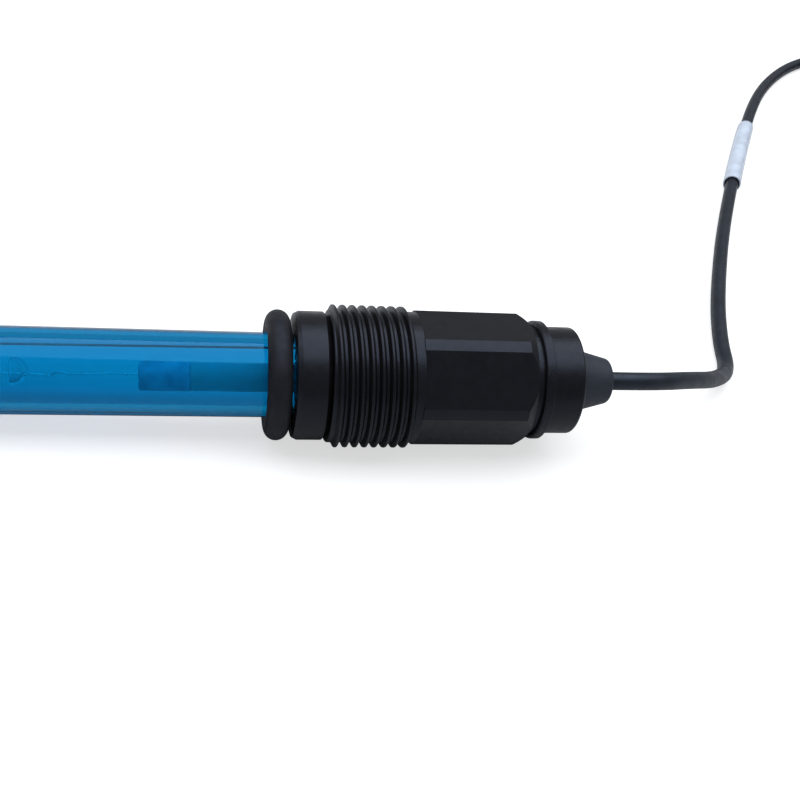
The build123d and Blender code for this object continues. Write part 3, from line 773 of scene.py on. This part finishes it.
class ELECTRODE_OT_sensor(bpy.types.Operator):
    """Adds the glass bulb on its stem, and the capillary inside it"""

    bl_idname = "electrode.sensor"
    bl_label = "Glass sensor"

    bulb_d: bpy.props.FloatProperty(
        name="Bulb", description="Diameter of the bulb", default=0.0074, unit="LENGTH",
    )
    stem_d: bpy.props.FloatProperty(
        name="Stem", description="Diameter of the stem", default=0.0053, unit="LENGTH",
    )

    def execute(self, context):
        glass = clear_glass()
        bulb_r = self.bulb_d / 2
        sensor = blown_glass(
            "glass_sensor", bulb_r, BULB_FRONT_X + bulb_r, self.stem_d / 2, STEM_END_X, GLASS_WALL,
        )
        finish_piece(sensor, glass, "glass", ELECTRODE, "ph_glass")
        capillary = blown_glass(
            "capillary", CAPILLARY_R, CAPILLARY_ROUND_X - CAPILLARY_R, CAPILLARY_R, CAPILLARY_OPEN_X,
            CAPILLARY_WALL,
        )
        finish_piece(capillary, glass, "glass", ELECTRODE, "inner_capillary")
        return {"FINISHED"}


class ELECTRODE_OT_finishes(bpy.types.Operator):
    """Gives each carried-over piece its finish"""

    bl_idname = "electrode.finishes"
    bl_label = "Finishes"

    def execute(self, context):
        for make_finish, names in NODE_FINISHES:
            material = make_finish()
            for name in names:
                data = NODES[name].data
                data.materials.clear()
                data.materials.append(material)
        return {"FINISHED"}


# Studio

def seen_directly(owner):
    """One for the rays that see the background from the camera or through glass, nothing for the rest."""
    path = add_node(owner, "ShaderNodeLightPath")
    either = add_node(owner, "ShaderNodeMath", operation="MAXIMUM")
    link(owner, path.outputs["Is Camera Ray"], either.inputs[0])
    link(owner, path.outputs["Is Transmission Ray"], either.inputs[1])
    return either.outputs["Value"]


def floor_finish():
    """Pale matt floor that is lifted to white where it is seen, and keeps its shadows."""
    material, shader = new_finish("studio_floor", colours().floor, roughness=0.9, specular=0.2)
    strength = add_node(material, "ShaderNodeMath", operation="MULTIPLY")
    strength.inputs[1].default_value = FLOOR_GLOW
    link(material, seen_directly(material), strength.inputs[0])
    shader.inputs["Emission Color"].default_value = (1.0, 1.0, 1.0, 1.0)
    link(material, strength.outputs["Value"], shader.inputs["Emission Strength"])
    return material


def add_world(scene):
    """A dim cool sky that is white where it is seen."""
    world = bpy.data.worlds.new("studio")
    scene.world = world
    world.use_nodes = True
    background = world.node_tree.nodes["Background"]
    background.inputs["Color"].default_value = (*WORLD_COLOUR, 1.0)
    span = add_node(world, "ShaderNodeMapRange", to_min=WORLD_LIGHT, to_max=WORLD_SEEN)
    link(world, seen_directly(world), span.inputs["Value"])
    link(world, span.outputs["Result"], background.inputs["Strength"])


def add_panel():
    """A soft box above the part."""
    bpy.ops.object.light_add(type="AREA", location=PANEL_PLACE)
    lamp = bpy.context.object
    lamp.name = "key_panel"
    facing = Vector(PANEL_TARGET) - Vector(PANEL_PLACE)
    lamp.rotation_euler = facing.to_track_quat("-Z", "Y").to_euler()
    lamp.data.shape = "RECTANGLE"
    lamp.data.size, lamp.data.size_y = PANEL_SIZE
    lamp.data.energy = PANEL_POWER
    lamp.data.color = PANEL_COLOUR


def add_camera(scene):
    bpy.ops.object.camera_add(location=CAMERA_PLACE)
    camera = bpy.context.object
    camera.rotation_euler = [math.radians(a) for a in CAMERA_TURN]
    camera.data.lens = CAMERA_LENS
    camera.data.sensor_width = SENSOR_W
    camera.data.clip_start = CAMERA_NEAR
    camera.data.clip_end = CAMERA_FAR
    scene.camera = camera


class ELECTRODE_OT_stage(bpy.types.Operator):
    """Adds the floor, the light and the camera"""

    bl_idname = "electrode.stage"
    bl_label = "Studio"

    floor_size: bpy.props.FloatProperty(
        name="Floor", description="Side of the floor", default=6.0, unit="LENGTH",
    )

    def execute(self, context):
        bpy.ops.object.select_all(action="DESELECT")
        bpy.ops.mesh.primitive_plane_add(size=self.floor_size)
        floor = start_piece("floor")
        floor.data.materials.append(floor_finish())
        add_world(context.scene)
        add_panel()
        add_camera(context.scene)
        context.scene.view_settings.view_transform = "Standard"
        return {"FINISHED"}


class ELECTRODE_OT_declare(bpy.types.Operator):
    bl_idname = "electrode.declare"
    bl_label = "Declare the cable"

    def execute(self, context):
        on_cable = [bpy.data.objects["marker_sleeve"], NODES["coil_tie"]]
        on_cable += [NODES[name] for name in PLUG_NODES]
        return {"FINISHED"}


class ELECTRODE_PT_panel(bpy.types.Panel):
    """Sizes, colours and the pieces in the order in which they are made"""

    bl_idname = "ELECTRODE_PT_panel"
    bl_label = "pH Electrode"
    bl_space_type = "VIEW_3D"
    bl_region_type = "UI"
    bl_category = "Electrode"

    def draw(self, context):
        layout = self.layout
        for group in (context.scene.electrode_sizes, context.scene.electrode_colours):
            box = layout.box()
            for name in group.__annotations__:
                box.prop(group, name)
        for operator in OPERATORS:
            layout.operator(operator.bl_idname)


OPERATORS = (
    ELECTRODE_OT_stage,
    ELECTRODE_OT_cable,
    ELECTRODE_OT_marker,
    ELECTRODE_OT_shaft,
    ELECTRODE_OT_sensor,
    ELECTRODE_OT_finishes,
    ELECTRODE_OT_declare,
)
CLASSES = (ElectrodeSizes, ElectrodeColours) + OPERATORS + (ELECTRODE_PT_panel,)


def register():
    for cls in CLASSES:
        bpy.utils.register_class(cls)
    bpy.types.Scene.electrode_sizes = bpy.props.PointerProperty(type=ElectrodeSizes)
    bpy.types.Scene.electrode_colours = bpy.props.PointerProperty(type=ElectrodeColours)


def unregister():
    del bpy.types.Scene.electrode_colours
    del bpy.types.Scene.electrode_sizes
    for cls in reversed(CLASSES):
        bpy.utils.unregister_class(cls)


def main():
    register()
    bpy.ops.electrode.stage()
    bpy.ops.electrode.cable()
    bpy.ops.electrode.marker()
    bpy.ops.electrode.shaft()
    bpy.ops.electrode.sensor()
    bpy.ops.electrode.finishes()
    bpy.ops.electrode.declare()


if __name__ == "__main__":
    main()
